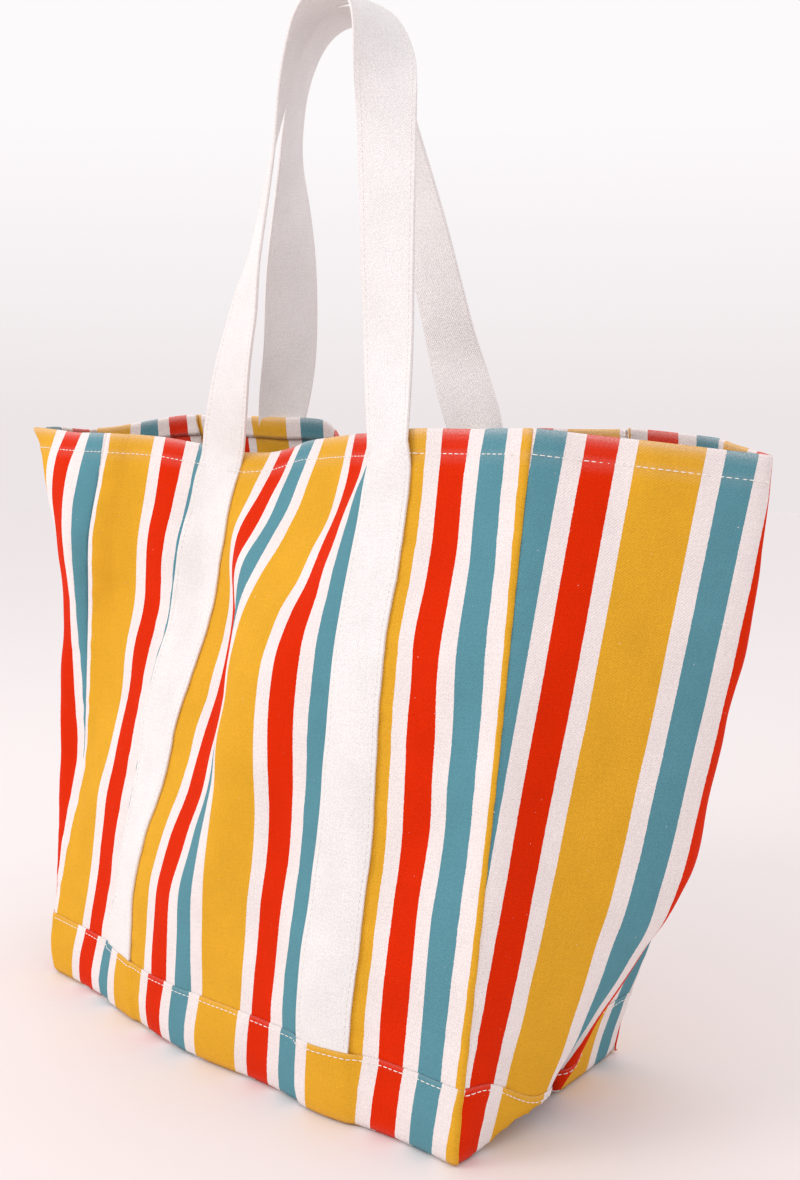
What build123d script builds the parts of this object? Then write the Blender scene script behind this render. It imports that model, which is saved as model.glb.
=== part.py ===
from build123d import *

import math
import os

os.makedirs("parts", exist_ok=True)

# A canvas tote bag, standing on its base as it hangs: the mouth drawn in between the
# front and the back, the two gussets pushed out to a ridge, and both handles up.
# Frame: origin at the middle of the base, X across the front, front towards -Y, Z up.

# ---- driving dimensions, mm ------------------------------------------------------------
# Cloth
canvas = 1.2  # one layer of canvas
webbing = 2.0  # a strap, folded canvas
base_layer = 1.6  # base cloth with its interlining
ease = 0.3  # gap left between sewn pieces that do not press on each other
body_gap = 0.4  # gap between a sewn strap leg and the free handle above it

# Bag body
panel_width = 434.0  # front and back, seam to seam
panel_height = 424.0  # base seam to rim, measured up the cloth
base_depth = 215.0  # front to back at the base
mouth_depth = 94.0  # front rim to back rim while it hangs
gusset_reach = 129.0  # how far the gusset ridge stands out at the rim

# Seams, hem and bands
seam_allowance = 10.0
hem_depth = 15.0
band_height = 45.0
strap_tuck = 12.0  # strap end caught under the band
edge_stitch = 3.0  # topstitching to the nearest edge

# Straps and handles
strap_width = 40.0
strap_offset = 112.0  # strap centre line to the bag's centre line
handle_drop = 286.0  # rim to the top of the handle
handle_fold_radius = 35.0  # inner radius where the handle turns over
handle_gap = 4.0  # between the two handles where they come together
twist_stations = 9  # sections that carry the quarter turn of a handle leg

# Thread
thread_width = 0.6
thread_height = 0.4
thread_stop = 6.0  # rows of thread end this far from the rim, where the handle bends

# ---- places worked out from them --------------------------------------------------------
lean = math.asin((base_depth - mouth_depth) / 2 / panel_height)
rim_rise = panel_height * math.cos(lean)
ridge_rise = math.sqrt(panel_height**2 - gusset_reach**2)
rim_drop = rim_rise - ridge_rise
ridge_run = math.hypot(gusset_reach, rim_drop)
rim_tilt = math.atan2(rim_drop, gusset_reach)
mouth_angle = math.atan2(mouth_depth / 2, gusset_reach)
half_width = panel_width / 2
strap_sides = (-strap_offset, strap_offset)


def wall_plane(side):
    """The outer face of the front (side -1) or back (side +1) panel: x along it, y up it."""
    return Plane(
        origin=(0, side * base_depth / 2, base_layer),
        x_dir=(-side, 0, 0),
        z_dir=(0, side * math.cos(lean), math.sin(lean)),
    )


def gusset_plane(end, rise):
    """The tilted plane that cuts a gusset at a share of its height, x towards its ridge."""
    return Plane(
        origin=(end * half_width, 0, base_layer + rise * rim_rise),
        x_dir=(end * math.cos(rim_tilt), 0, -math.sin(rim_tilt)),
        z_dir=(end * math.sin(rim_tilt), 0, math.cos(rim_tilt)),
    )


def gusset_points(rise, layer):
    """Front corner and ridge of a gusset, so many cloth layers in from its face."""
    corner_y = base_depth / 2 - rise * (base_depth - mouth_depth) / 2
    corner_y -= layer * rise * canvas / math.cos(mouth_angle)
    corner_x = max(0, canvas * (1 - rise) * (1 - layer))
    ridge_wall = canvas * (1 - rise) + rise * canvas / math.sin(mouth_angle)
    ridge_x = canvas + rise * ridge_run - layer * ridge_wall
    return [(corner_x, -corner_y), (ridge_x, 0)]


def gusset_section(end, rise, outer, inner):
    """The outline of a gusset's half, corner to ridge, between two layers of cloth."""
    outline = gusset_points(rise, outer) + gusset_points(rise, inner)[::-1]
    with BuildSketch(gusset_plane(end, rise)) as section:
        with BuildLine():
            Polyline(*outline, close=True)
        make_face()
    return section.sketch


def gusset_strip(end, low, high, outer, inner):
    """A strip of cloth round a gusset from one height to another: one half and its mirror."""
    loft(
        sections=[
            gusset_section(end, low, outer, inner),
            gusset_section(end, high, outer, inner),
        ],
        ruled=True,
    )
    mirror(about=Plane.XZ)


def cloth_height(mm_up):
    """The share of the gusset's height that a length up the cloth comes to."""
    return mm_up / panel_height


def rim_spans(margin):
    """Stretches of a panel's width that no strap covers, with a margin beside each strap."""
    clear = strap_width / 2 + margin
    stops = [-half_width, -strap_offset - clear, -strap_offset + clear]
    stops += [strap_offset - clear, strap_offset + clear, half_width]
    return list(zip(stops[0::2], stops[1::2]))


# ---- base -------------------------------------------------------------------------------
base_overhang = 2 * canvas  # the base reaches out under the walls and their bands

with BuildPart() as base_panel:
    with BuildSketch():
        Rectangle(panel_width + 2 * base_overhang, base_depth + 2 * base_overhang)
    extrude(amount=base_layer)
base_panel.part.label = "base_panel"
export_step(base_panel.part, "parts/base_panel.step")

# The turned-in edges of the walls, sewn flat to the base inside the bag
seam_layers = 2 * canvas
wall_foot = canvas / math.cos(lean) + seam_layers * math.tan(lean) + ease
long_seam = panel_width - 2 * (seam_allowance + ease)
short_seam = base_depth - 2 * (wall_foot + seam_allowance + ease)

for name, side in (("front", -1), ("back", 1)):
    with BuildPart() as base_seam:
        with BuildSketch(Plane.XY.offset(base_layer)):
            with Locations((0, side * (base_depth / 2 - wall_foot - seam_allowance / 2))):
                Rectangle(long_seam, seam_allowance)
        extrude(amount=seam_layers)
    base_seam.part.label = name + "_base_seam"
    export_step(base_seam.part, "parts/" + name + "_base_seam.step")

for name, end in (("left", -1), ("right", 1)):
    with BuildPart() as base_seam:
        with BuildSketch(Plane.XY.offset(base_layer)):
            with Locations((end * (half_width - ease - seam_allowance / 2), 0)):
                Rectangle(seam_allowance, short_seam)
        extrude(amount=seam_layers)
    base_seam.part.label = name + "_base_seam"
    export_step(base_seam.part, "parts/" + name + "_base_seam.step")

# ---- front and back walls ----------------------------------------------------------------
for name, side in (("front", -1), ("back", 1)):
    wall = wall_plane(side)

    with BuildPart() as panel:
        with BuildSketch(wall):
            Rectangle(panel_width, panel_height, align=(Align.CENTER, Align.MIN))
        extrude(amount=-canvas)
        split(bisect_by=Plane.XY.offset(base_layer), keep=Keep.TOP)
    panel.part.label = name + "_panel"
    export_step(panel.part, "parts/" + name + "_panel.step")

    # The lapped band round the foot, with a raised pocket over each strap's end
    pocket_width = strap_width + 2 * ease
    pocket_depth = webbing + ease
    with BuildPart() as band:
        with BuildSketch(wall):
            Rectangle(panel_width, band_height, align=(Align.CENTER, Align.MIN))
        extrude(amount=canvas)
        with BuildSketch(wall):
            with Locations(*[(x, band_height) for x in strap_sides]):
                Rectangle(
                    pocket_width + 2 * canvas,
                    strap_tuck + canvas,
                    align=(Align.CENTER, Align.MAX),
                )
        extrude(amount=pocket_depth + canvas)
        with BuildSketch(wall):
            with Locations(*[(x, band_height) for x in strap_sides]):
                Rectangle(pocket_width, strap_tuck, align=(Align.CENTER, Align.MAX))
        extrude(amount=pocket_depth, mode=Mode.SUBTRACT)
    band.part.label = name + "_base_band"
    export_step(band.part, "parts/" + name + "_base_band.step")

    # The strap's two legs, sewn up the panel from under the band to the rim
    leg_foot = band_height - strap_tuck + ease
    for hand, x in (("left", strap_offset * side), ("right", -strap_offset * side)):
        with BuildPart() as leg:
            with BuildSketch(wall):
                with Locations((x, leg_foot)):
                    Rectangle(
                        strap_width,
                        panel_height - leg_foot,
                        align=(Align.CENTER, Align.MIN),
                    )
            extrude(amount=webbing)
        leg.part.label = name + "_strap_" + hand + "_leg"
        export_step(leg.part, "parts/" + name + "_strap_" + hand + "_leg.step")

    # The rim turned in and sewn down
    with BuildPart() as hem:
        with BuildSketch(wall.offset(-canvas)):
            with Locations((0, panel_height)):
                Rectangle(long_seam, hem_depth, align=(Align.CENTER, Align.MAX))
        extrude(amount=-canvas)
    hem.part.label = name + "_rim_hem"
    export_step(hem.part, "parts/" + name + "_rim_hem.step")

    # The joined edges of panel and gusset, turned in at each corner
    seam_foot = seam_layers + ease
    for hand, end in (("left", side), ("right", -side)):
        with BuildPart() as corner:
            with BuildSketch(wall.offset(-canvas)):
                with Locations((end * (half_width - seam_allowance / 2), seam_foot)):
                    Rectangle(
                        seam_allowance,
                        panel_height - seam_foot,
                        align=(Align.CENTER, Align.MIN),
                    )
            extrude(amount=-seam_layers)
        corner.part.label = name + "_" + hand + "_corner_seam"
        export_step(corner.part, "parts/" + name + "_" + hand + "_corner_seam.step")

    # Two rows of thread down each strap leg, above the band
    row_foot = band_height + ease
    with BuildPart() as strap_thread:
        with BuildSketch(wall.offset(webbing)):
            for x in strap_sides:
                for edge in (-1, 1):
                    with Locations((x + edge * (strap_width / 2 - edge_stitch), row_foot)):
                        Rectangle(
                            thread_width,
                            panel_height - thread_stop - row_foot,
                            align=(Align.CENTER, Align.MIN),
                        )
        extrude(amount=thread_height)
    strap_thread.part.label = name + "_strap_topstitch"
    export_step(strap_thread.part, "parts/" + name + "_strap_topstitch.step")

# ---- gussets -----------------------------------------------------------------------------
for name, end in (("left", -1), ("right", 1)):
    with BuildPart() as gusset:
        gusset_strip(end, 0, 1, 0, 1)
        split(bisect_by=Plane.XY.offset(base_layer), keep=Keep.TOP)
    gusset.part.label = name + "_gusset"
    export_step(gusset.part, "parts/" + name + "_gusset.step")

    band_top = cloth_height(band_height)
    with BuildPart() as band:
        gusset_strip(end, 0, band_top, -1, 0)
        split(bisect_by=Plane.XY.offset(base_layer), keep=Keep.TOP)
    band.part.label = name + "_base_band"
    export_step(band.part, "parts/" + name + "_base_band.step")

    hem_foot = cloth_height(panel_height - hem_depth)
    with BuildPart() as hem:
        gusset_strip(end, hem_foot, 1, 1, 2)
    hem.part.label = name + "_rim_hem"
    export_step(hem.part, "parts/" + name + "_rim_hem.step")

# ---- thread round the rim and the band ---------------------------------------------------
thread_layer = thread_height / canvas


def gusset_thread(end, height, outer_layer):
    """One row of thread lying across a gusset at a height up the cloth."""
    low = cloth_height(height - thread_width / 2)
    high = cloth_height(height + thread_width / 2)
    with BuildPart() as thread:
        gusset_strip(end, low, high, outer_layer - thread_layer, outer_layer)
    return thread.part


with BuildPart() as rim_thread:
    for side in (-1, 1):
        with BuildSketch(wall_plane(side)):
            for start, stop in rim_spans(ease):
                with Locations(((start + stop) / 2, panel_height - hem_depth)):
                    Rectangle(stop - start, thread_width)
        extrude(amount=thread_height)
    for end in (-1, 1):
        add(gusset_thread(end, panel_height - hem_depth, 0))
rim_thread.part.label = "rim_topstitch"
export_step(rim_thread.part, "parts/rim_topstitch.step")

with BuildPart() as band_thread:
    row = band_height - edge_stitch
    for side in (-1, 1):
        with BuildSketch(wall_plane(side).offset(canvas)):
            for start, stop in rim_spans(canvas + 2 * ease):
                with Locations(((start + stop) / 2, row)):
                    Rectangle(stop - start, thread_width)
        extrude(amount=thread_height)
        with BuildSketch(wall_plane(side).offset(webbing + ease + canvas)):
            with Locations(*[(x, row) for x in strap_sides]):
                Rectangle(strap_width, thread_width)
        extrude(amount=thread_height)
    for end in (-1, 1):
        add(gusset_thread(end, row, -1))
band_thread.part.label = "base_band_topstitch"
export_step(band_thread.part, "parts/base_band_topstitch.step")

# ---- handles -----------------------------------------------------------------------------
# Each handle stands on its two sewn legs, turns a quarter as it rises, and folds over at
# the top with its width running front to back.
fold_radius = handle_fold_radius + webbing / 2  # to the middle of the strap
fold_z = base_layer + rim_rise + handle_drop - webbing - handle_fold_radius
fold_y = (handle_gap + strap_width) / 2


def handle_frame(side):
    """Foot and top of a handle's right leg, seen from outside, as points on its mid line."""
    wall = wall_plane(side)
    foot = wall.from_local_coords(
        Vector(strap_offset, panel_height + body_gap, webbing / 2)
    )
    end = math.copysign(1, foot.X)
    away = math.hypot(strap_offset, fold_z - foot.Z)
    slope = math.atan2(strap_offset, fold_z - foot.Z) - math.asin(fold_radius / away)
    top = Vector(
        end * fold_radius * math.cos(slope),
        side * fold_y,
        fold_z + fold_radius * math.sin(slope),
    )
    return foot, top, end, slope


def handle_section(side, share, across, proud, width, height):
    """A rectangle across a handle leg: share 0 at its foot, 1 where the fold begins."""
    foot, top, end, slope = handle_frame(side)
    centre = foot + (top - foot) * share
    turned = math.radians(90) * (3 * share**2 - 2 * share**3)
    lying = slope * min(1, 2 * share)  # upright at the rim, leaning with the leg by halfway
    flat = Vector(-side * math.cos(lying), 0, math.sin(lying))
    deep = Vector(0, -side, 0)
    width_dir = flat * math.cos(turned) + deep * math.sin(turned)
    up = Vector(-end * math.sin(lying), 0, math.cos(lying))
    section_plane = Plane(origin=centre, x_dir=width_dir, z_dir=up)
    with BuildSketch(section_plane) as section:
        with Locations((across, proud)):
            Rectangle(width, height)
    return section.sketch


def handle_strip(side, across, proud, width, height):
    """A strip that follows the whole handle: leg, fold, and the other leg by mirror."""
    foot, top, end, slope = handle_frame(side)
    shares = [step / (twist_stations - 1) for step in range(twist_stations)]
    loft(
        sections=[handle_section(side, s, across, proud, width, height) for s in shares],
        ruled=True,
    )
    add(handle_section(side, 1, across, proud, width, height))
    revolve(
        axis=Axis((0, 0, fold_z), (0, -end, 0)),
        revolution_arc=90 - math.degrees(slope),
    )
    mirror(about=Plane.YZ)


for name, side in (("front", -1), ("back", 1)):
    with BuildPart() as loop:
        handle_strip(side, 0, 0, strap_width, webbing)
    loop.part.label = name + "_handle_loop"
    export_step(loop.part, "parts/" + name + "_handle_loop.step")

    row_across = strap_width / 2 - edge_stitch
    row_proud = -(webbing + thread_height) / 2
    with BuildPart() as loop_thread:
        for edge in (-1, 1):
            handle_strip(side, edge * row_across, row_proud, thread_width, thread_height)
        split(bisect_by=Plane.XY.offset(base_layer + rim_rise + thread_stop), keep=Keep.TOP)
    loop_thread.part.label = name + "_handle_topstitch"
    export_step(loop_thread.part, "parts/" + name + "_handle_topstitch.step")

print("rim height", round(base_layer + rim_rise, 1))
print("gusset width at the rim", round(2 * math.hypot(gusset_reach, mouth_depth / 2), 1))
print("front hinge", wall_plane(-1).from_local_coords(Vector(0, panel_height, webbing)))
print("lean of the panels, degrees", round(math.degrees(lean), 2))
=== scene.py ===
# %% [markdown]
# # A striped canvas tote bag
# The bag is a foot, two broad panels and two gussets of printed canvas, with two white
# straps. In this lesson each piece is its own sheet of cloth, laid on one shared set of
# wall surfaces. We start from the measured frame, so every piece already knows its place.

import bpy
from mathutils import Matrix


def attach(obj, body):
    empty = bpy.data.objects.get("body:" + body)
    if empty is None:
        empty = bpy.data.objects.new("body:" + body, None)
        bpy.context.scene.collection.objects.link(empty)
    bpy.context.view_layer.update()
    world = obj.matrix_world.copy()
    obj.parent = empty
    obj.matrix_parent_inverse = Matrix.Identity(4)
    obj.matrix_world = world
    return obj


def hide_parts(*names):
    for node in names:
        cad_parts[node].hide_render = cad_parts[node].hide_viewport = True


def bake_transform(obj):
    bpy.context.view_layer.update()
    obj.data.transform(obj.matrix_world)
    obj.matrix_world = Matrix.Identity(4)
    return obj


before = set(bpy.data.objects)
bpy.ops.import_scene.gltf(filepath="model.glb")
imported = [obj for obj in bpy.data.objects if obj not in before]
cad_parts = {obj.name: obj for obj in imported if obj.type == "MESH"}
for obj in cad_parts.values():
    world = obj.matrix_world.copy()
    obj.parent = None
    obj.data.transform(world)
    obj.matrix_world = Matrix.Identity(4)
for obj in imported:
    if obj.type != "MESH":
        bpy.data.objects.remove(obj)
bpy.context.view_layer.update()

import math

import bpy
import numpy as np
from mathutils import Vector, noise

MM = 0.001

# %% [markdown]
# ## Where we look from
# The camera stands off the bag's front right corner at rim height and looks slightly down.
# A moderately long lens keeps the near corner from swelling.

# %% Camera
LENS, SENSOR = 43.93, 36.0
LOOK_DOWN, LOOK_ROUND = 6.3, 45

camera_data = bpy.data.cameras.new("camera")
camera_data.lens = LENS
camera_data.sensor_width = SENSOR
camera = bpy.data.objects.new("camera", camera_data)
camera.location = (0.7477, -0.6823, 0.420)
camera.rotation_euler = (math.radians(90 - LOOK_DOWN), 0, math.radians(LOOK_ROUND))
bpy.context.scene.collection.objects.link(camera)
bpy.context.scene.camera = camera
print("camera at", tuple(round(v, 3) for v in camera.location))

# %% [markdown]
# ## A pale room
# White cloth looks white only when soft light comes from everywhere. A nearly white world
# does most of the work, and three large lamps give the folds a direction to fall away from.

# %% Floor, world and lamps
def plain_material(name, colour, roughness):
    material = bpy.data.materials.new(name)
    material.use_nodes = True
    shader = material.node_tree.nodes["Principled BSDF"]
    shader.inputs["Base Color"].default_value = (*colour, 1)
    shader.inputs["Roughness"].default_value = roughness
    return material


ROOM = 6
FLOOR_COLOUR = (0.86, 0.805, 0.80)
SKY_LOW, SKY_HIGH = (0.86, 0.80, 0.81, 1), (1, 0.975, 0.985, 1)

floor_mesh = bpy.data.meshes.new("floor")
floor_mesh.from_pydata(
    [(-ROOM, -ROOM, 0), (ROOM, -ROOM, 0), (ROOM, ROOM, 0), (-ROOM, ROOM, 0)], [], [(0, 1, 2, 3)]
)
floor = bpy.data.objects.new("floor", floor_mesh)
floor.location.z = -0.0005
floor_mesh.materials.append(plain_material("pale_floor", FLOOR_COLOUR, 0.6))
bpy.context.scene.collection.objects.link(floor)

world = bpy.data.worlds.new("room")
bpy.context.scene.world = world
world.use_nodes = True
sky, sky_links = world.node_tree.nodes, world.node_tree.links
split_sky = sky.new("ShaderNodeSeparateXYZ")
sky_links.new(sky.new("ShaderNodeTexCoord").outputs["Generated"], split_sky.inputs[0])
sky_ramp = sky.new("ShaderNodeValToRGB")
sky_ramp.color_ramp.elements[0].position, sky_ramp.color_ramp.elements[1].position = 0.0, 0.2
sky_ramp.color_ramp.elements[0].color = SKY_LOW
sky_ramp.color_ramp.elements[1].color = SKY_HIGH
sky_links.new(split_sky.outputs[2], sky_ramp.inputs[0])
sky_links.new(sky_ramp.outputs[0], sky["Background"].inputs["Color"])
sky["Background"].inputs["Strength"].default_value = 0.98
bpy.context.scene.view_settings.view_transform = "Standard"


def soft_lamp(name, place, target, size, watts, colour=(1, 1, 1)):
    data = bpy.data.lights.new(name, "AREA")
    data.shape, data.size, data.energy, data.color = "DISK", size, watts, colour
    lamp = bpy.data.objects.new(name, data)
    lamp.location = place
    aim = Vector(target) - Vector(place)
    lamp.rotation_euler = aim.to_track_quat("-Z", "Y").to_euler()
    bpy.context.scene.collection.objects.link(lamp)


soft_lamp("key", (-1.1, -2.1, 1.5), (0, 0, 0.25), 1.2, 21, (1, 0.985, 0.97))
soft_lamp("side_fill", (2.2, -0.4, 1.1), (0.1, 0, 0.25), 1.4, 0.6)
soft_lamp("overhead", (-0.2, 0.2, 2.4), (0, 0, 0.2), 1.6, 3)
print("lamps placed")

# %% [markdown]
# ## How the cloth was cut
# The maker cut each panel 434 mm across and 424 mm up, and each gusset wider at the rim
# than at the foot. The print repeats every 106 mm. Keeping these sizes through every fold
# is what makes the stripes look printed on real cloth.

# %% Cut sizes, in millimetres
HEIGHT = 424.0  # up the cloth, foot seam to rim
PANEL = 434.0  # front and back, seam to seam
GUSSET_FOOT, GUSSET_RIM = 215.0, 274.6
HEM = 15.0
BAND = 45.0
CLOTH = 1.2  # thickness of the canvas
REPEAT = 106.0  # of the print
GRID = 3.6  # between neighbouring places on a wall
FOOT_Z = 1.2  # the walls start here, just above the floor


def gusset_width(height):
    return GUSSET_FOOT + (GUSSET_RIM - GUSSET_FOOT) * np.clip(height / HEIGHT, 0, 1)


print("gusset width at mid height", gusset_width(HEIGHT / 2))

# %% [markdown]
# ## Drawing a wall in plan
# A wall could be pushed about by hand in sculpt mode, but then its cloth would stretch.
# Instead we draw it in plan at each height, as a line between two seams, ease its corners,
# and lay the cloth along it at an even pace.

# %% Tools for plan lines
def eased(points, spread):
    """Points along a line, with corners rounded and both ends held."""
    if spread < 0.05:
        return points
    reach = int(min(len(points) - 1, math.ceil(3 * spread)))
    weights = np.exp(-0.5 * (np.arange(-reach, reach + 1) / spread) ** 2)
    weights /= weights.sum()
    before = 2 * points[0] - points[reach:0:-1]
    after = 2 * points[-1] - points[-2 : -reach - 2 : -1]
    long = np.concatenate([before, points, after])
    return np.stack(
        [np.convolve(long[:, k], weights, "valid") for k in range(long.shape[1])], 1
    )


def spaced(points, count):
    """The same line with its points evenly spaced, and its length."""
    run = np.concatenate([[0], np.cumsum(np.linalg.norm(np.diff(points, axis=0), axis=1))])
    at = np.linspace(0, run[-1], count)
    return np.stack([np.interp(at, run, points[:, k]) for k in range(points.shape[1])], 1), run[-1]


def at_height(stations, height):
    """Values given at a few heights, read at another height."""
    heights = [s[0] for s in stations]
    values = np.array([s[1:] for s in stations], float)
    return np.array([np.interp(height, heights, values[:, k]) for k in range(values.shape[1])])


print("plan tools ready")

# %% [markdown]
# ## Four corner seams
# The seams are the bag's skeleton. Each leans inwards as it rises, because the hanging bag
# draws its mouth together. A row is a height up the cloth, then x and y.

# %% Corner seams
seams = {
    "front_left": [(0, -213, -103), (12, -217, -106), (60, -217, -98), (95, -216, -91), (164, -209, -75),
                   (288, -214, -65), (344, -216, -63), (424, -210, -47)],
    "front_right": [(0, 215, -105), (10, 217, -107), (424, 217, -47)],
    "back_right": [(0, 186, 84), (60, 196, 86), (160, 214, 84), (424, 217, 47)],
    "back_left": [(0, -213, 103), (12, -217, 107), (424, -215, 47)],
}
print("seams", ", ".join(seams))

# %% [markdown]
# ## Folds of the front panel
# Canvas is stiff, so a slack panel breaks into a few long folds. Each has a line it follows
# up the cloth, a depth that changes with height (inwards is positive) and a width. Steps are
# places where the cloth turns from a valley to a ridge over a short distance.

# %% Front folds
front_folds = [
    # the strap pulls the rim inwards beside its left leg
    dict(line=[(150, 140), (300, 130), (424, 148)], width=58,
         depth=[(140, 0), (220, 1), (260, 9), (300, 20), (340, 20), (380, 33), (424, 45)]),
    # and the pull carries on past the middle of the rim
    dict(line=[(0, 240), (424, 240)], width=36,
         depth=[(290, 0), (340, 5), (380, 11), (424, 15)]),
    # hollow beside the left seam
    dict(line=[(0, 45), (424, 42)], width=24,
         depth=[(100, 0), (145, -7), (180, -3), (220, 9), (260, 5), (300, 14), (424, 10)]),
    # belly, pushed out by the stiffness of the foot
    dict(line=[(0, 195), (140, 188), (300, 210), (424, 215)], width=68,
         depth=[(0, -17), (60, -26), (120, -31), (220, -20), (300, -11), (360, 0)]),
    # ridge right of the middle
    dict(line=[(60, 205), (180, 235), (260, 260), (340, 276)], width=26,
         depth=[(40, 0), (140, -6), (220, -13), (260, -15), (300, -10), (380, 0)]),
    # the right strap holds its cloth out
    dict(line=[(0, 328), (424, 330)], width=29,
         depth=[(0, -8), (60, -15), (220, -14), (300, -11), (345, -7), (385, -3), (424, -1)]),
    # the left strap draws in its own cloth below the rim
    dict(line=[(240, 114), (424, 110)], width=20,
         depth=[(240, 0), (300, 4), (340, 9), (370, 6), (400, 2), (424, 0)]),
    # and lies flat where it meets the rim
    dict(line=[(0, 87), (424, 87)], width=12, depth=[(350, 0), (385, 3), (424, 4.5)]),
    dict(line=[(0, 126), (424, 126)], width=12, depth=[(350, 0), (385, -3), (424, -4.5)]),
    # roll of cloth that spills over just right of it
    dict(line=[(330, 150), (424, 154)], width=14,
         depth=[(325, 0), (350, -3), (370, -12), (392, -4), (424, 0)]),
    # soft dents above one another near the right seam
    dict(line=[(0, 392), (424, 396)], width=19,
         depth=[(50, 0), (95, -4), (140, -4), (185, 2), (225, -2), (265, -3), (300, -4),
                (345, 2), (385, -3), (424, 0)]),
]
front_steps = [
    dict(line=[(60, 205), (180, 200), (260, 192), (300, 184), (340, 160)], width=19,
         depth=[(100, 0), (180, 7), (240, 13), (300, 16), (345, 8), (375, 0)]),
    dict(line=[(340, 270), (370, 276), (395, 296), (424, 304)], width=16,
         depth=[(290, 0), (340, 6), (380, 9), (424, 9)]),
]
back_folds = [
    dict(line=[(0, 215), (424, 225)], width=80,
         depth=[(0, -8), (120, -13), (300, -6), (400, 0)]),
    dict(line=[(250, 300), (424, 288)], width=15,
         depth=[(280, 0), (360, -8), (424, -20)]),
    dict(line=[(250, 360), (424, 350)], width=26,
         depth=[(260, 0), (340, 6), (424, 10)]),
    dict(line=[(200, 130), (424, 110)], width=36,
         depth=[(140, 0), (300, 9), (424, 19)]),
]


def fold_depth(folds, steps, across, height):
    """How far the folds carry the cloth inwards, across one height."""
    depth = np.zeros_like(across)
    for fold in folds:
        gap = (across - at_height(fold["line"], height)[0]) / fold["width"]
        depth += at_height(fold["depth"], height)[0] * np.exp(-0.5 * gap**2)
    for step in steps:
        gap = (across - at_height(step["line"], height)[0]) / step["width"]
        depth -= at_height(step["depth"], height)[0] * np.tanh(gap) * np.exp(-0.5 * (gap / 2.6) ** 2)
    edge = np.clip(np.minimum(across, across[-1] - across) / 22, 0, 1)
    return depth * edge * edge * (3 - 2 * edge)


print(len(front_folds) + len(front_steps), "folds in the front panel")

# %% [markdown]
# ## Ridges of the gussets
# A gusset is wider than the gap it closes, so it stands out to a ridge. The right one is
# even, but for the slack it takes up behind the ridge. The left one swings forward at the rim,
# and its slack hangs behind. Near the foot the right gusset tucks a pleat inwards.

# %% Gusset plan points
def even_reach(height):
    """How far a gusset's cloth can stand out between two seams, both halves alike."""
    half = gusset_width(height) / 2
    depth = 107.5 - 60.5 * height / HEIGHT
    return math.sqrt(max(half**2 - depth**2, 0))


def right_gusset_points(height):
    reach = even_reach(height) + np.interp(
        height, [0, 80, 120, 160, 225, 265, 320, HEIGHT], [0, -4, -10, -17, -17, -12, -6, -14])
    low = float(np.clip(1 - height / 165, 0, 1))
    open_ridge = np.array([217 + reach, np.interp(height, [0, 120, 280, HEIGHT], [12, 19, 22, 28])])
    lip_front = open_ridge * (1 - low) + np.array([210.0, -44.0]) * low
    pocket = open_ridge * (1 - low) + np.array([183.0, -12.0]) * low
    lip_back = open_ridge * (1 - low) + np.array([201.0, -8.0]) * low
    return take_up([lip_front, pocket, lip_back], height)


def take_up(points, height):
    """Add a point behind the ridge, pushed back far enough to use all the cloth."""
    start, stop = (at_height(seams[name], height) for name in ("front_right", "back_right"))
    outward = np.array([np.interp(height, [120, 165], [-0.15, -0.38]), 0.93])
    low, high = 0.0, 60.0
    for _ in range(24):  # halve the range until the cloth is used up
        out = (low + high) / 2
        slack = (points[-1] + stop) / 2 + outward * out
        line = np.array([start, *points, slack, stop])
        used = np.linalg.norm(np.diff(line, axis=0), axis=1).sum()
        low, high = (out, high) if used < gusset_width(height) * 1.02 else (low, out)
    return [*points, slack]


# height, then x and y of the far bulge, the shoulder, and a point just off the front seam
left_gusset_stations = [
    (0, -214, 20, -214, -35, -214, -70),
    (40, -242, 10, -231, -92, -222, -99),
    (95, -274, 2, -237, -88, -222, -88),
    (170, -298, 6, -244, -78, -221, -68),
    (230, -308, 8, -246, -73, -223, -69),
    (285, -315, 8, -250, -64, -224, -74),
    (306, -305, 10, -252, -64, -226, -74),
    (332, -300, 12, -254, -63, -229, -74),
    (366, -344, 10, -268, -61, -236, -68),
    (400, -350, 11, -288, -59, -245, -60),
    (424, -321, 14, -305, -55, -255, -52),
]


def left_gusset_points(height):
    return list(at_height(left_gusset_stations, height).reshape(3, 2))


print("even reach at the rim", round(even_reach(HEIGHT), 1))

# %% [markdown]
# ## Rim line
# The rim isn't level. It dips where the left strap pulls it in and slopes down to each
# gusset ridge.

# %% Rim heights
def dip(across, centre, width, depth):
    return depth * np.exp(-0.5 * ((across - centre) / width) ** 2)


def rim_z(wall, share):
    if wall == "front":
        across = share * PANEL
        return 420.5 - dip(across, 132, 48, 17) - dip(across, 20, 40, 3) - dip(across, 250, 45, 4)
    if wall == "back":
        across = share * PANEL
        raised = 1 / (1 + np.exp(-(across - 284) / 5))
        level = 420 - dip(across, 250, 60, 11)
        return level * (1 - raised) + (429 + 3 * np.clip((across - 330) / 104, 0, 1)) * raised
    if wall == "right":
        return 421 - 16 * (1 - np.abs(2 * share - 1))
    behind = 12 * np.exp(-((share / 0.28) ** 2))
    return 420.5 - 3 * share + 3 * np.exp(-0.5 * ((share - 0.65) / 0.12) ** 2) + behind


print("front rim at the left strap", round(float(rim_z("front", 0.27)), 1))

# %% [markdown]
# ## One surface for each wall
# Every row is drawn, eased and spaced, then neighbouring rows are eased together and small
# uneven waves are added, fading out at the seams. Later pieces read places from here, so a
# band or a strap lies on the cloth and shares its folds.

# %% Build the wall surfaces
WALLS = {
    "front": ("front_left", "front_right"),
    "right": ("front_right", "back_right"),
    "back": ("back_right", "back_left"),
    "left": ("back_left", "front_left"),
}
ROW_STEP = 4.0
ROWS = int(HEIGHT / ROW_STEP) + 1
COLUMNS = 141


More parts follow.
